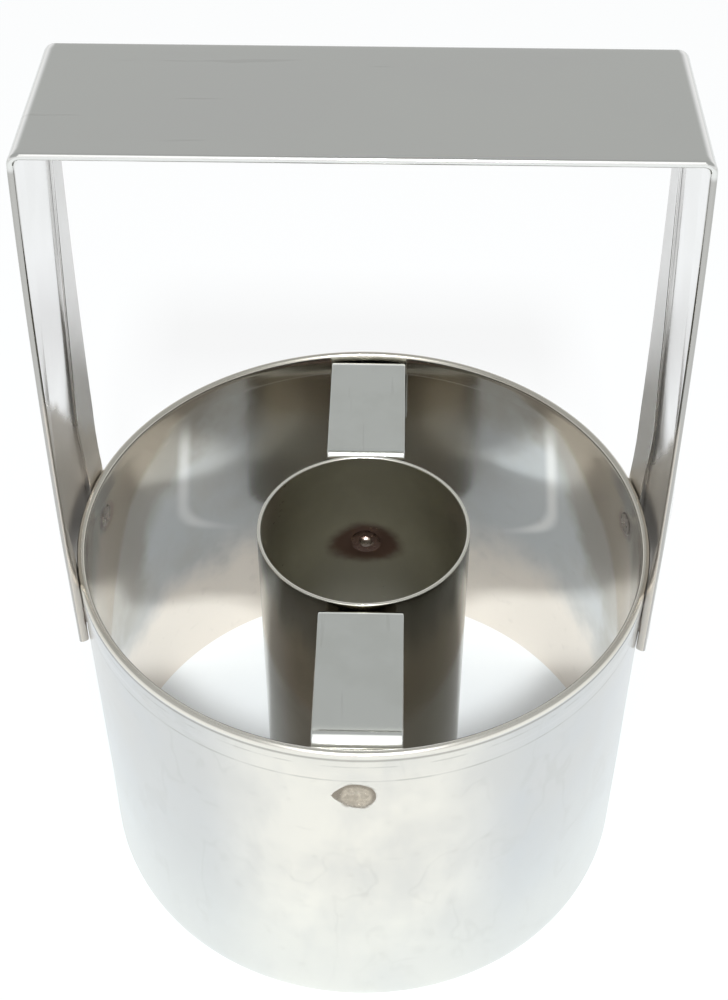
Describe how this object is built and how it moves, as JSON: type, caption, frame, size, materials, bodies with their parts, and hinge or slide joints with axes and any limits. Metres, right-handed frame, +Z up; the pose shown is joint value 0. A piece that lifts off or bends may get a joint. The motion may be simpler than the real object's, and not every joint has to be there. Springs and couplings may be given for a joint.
{
  "type": "doughnut cutter",
  "caption": "Hand dough cutter: an open steel ring with a concentric tube held by bent brackets, pressed down by a wide arched strip handle to cut ring-shaped pieces.",
  "frame": {"origin": "on the axis of the ring and the tube, level with the cutting edges that the tool stands on", "axes": "+Z up along that axis, +X across the handle from its left leg to its right leg, the brackets lie along Y"},
  "size_m": [0.0828, 0.08, 0.124],
  "materials": {
    "ring_steel": "buffed stainless sheet with fine scratches and smudges",
    "tube_steel": "darker stainless tube, lightly brushed",
    "bracket_steel": "satin stainless strip",
    "handle_steel": "satin stainless strip, fine grain along its length",
    "weld_steel": "heat-tinted spot weld"
  },
  "bodies": {
    "root": {"outer_ring": "ring_steel", "inner_tube": "tube_steel", "front_bracket": "bracket_steel", "rear_bracket": "bracket_steel", "handle": "handle_steel", "front_bracket_ring_weld": "weld_steel", "front_bracket_tube_weld": "weld_steel", "rear_bracket_ring_weld": "weld_steel", "rear_bracket_tube_weld": "weld_steel", "left_leg_front_weld": "weld_steel", "left_leg_rear_weld": "weld_steel", "right_leg_front_weld": "weld_steel", "right_leg_rear_weld": "weld_steel"}
  },
  "joints": []
}
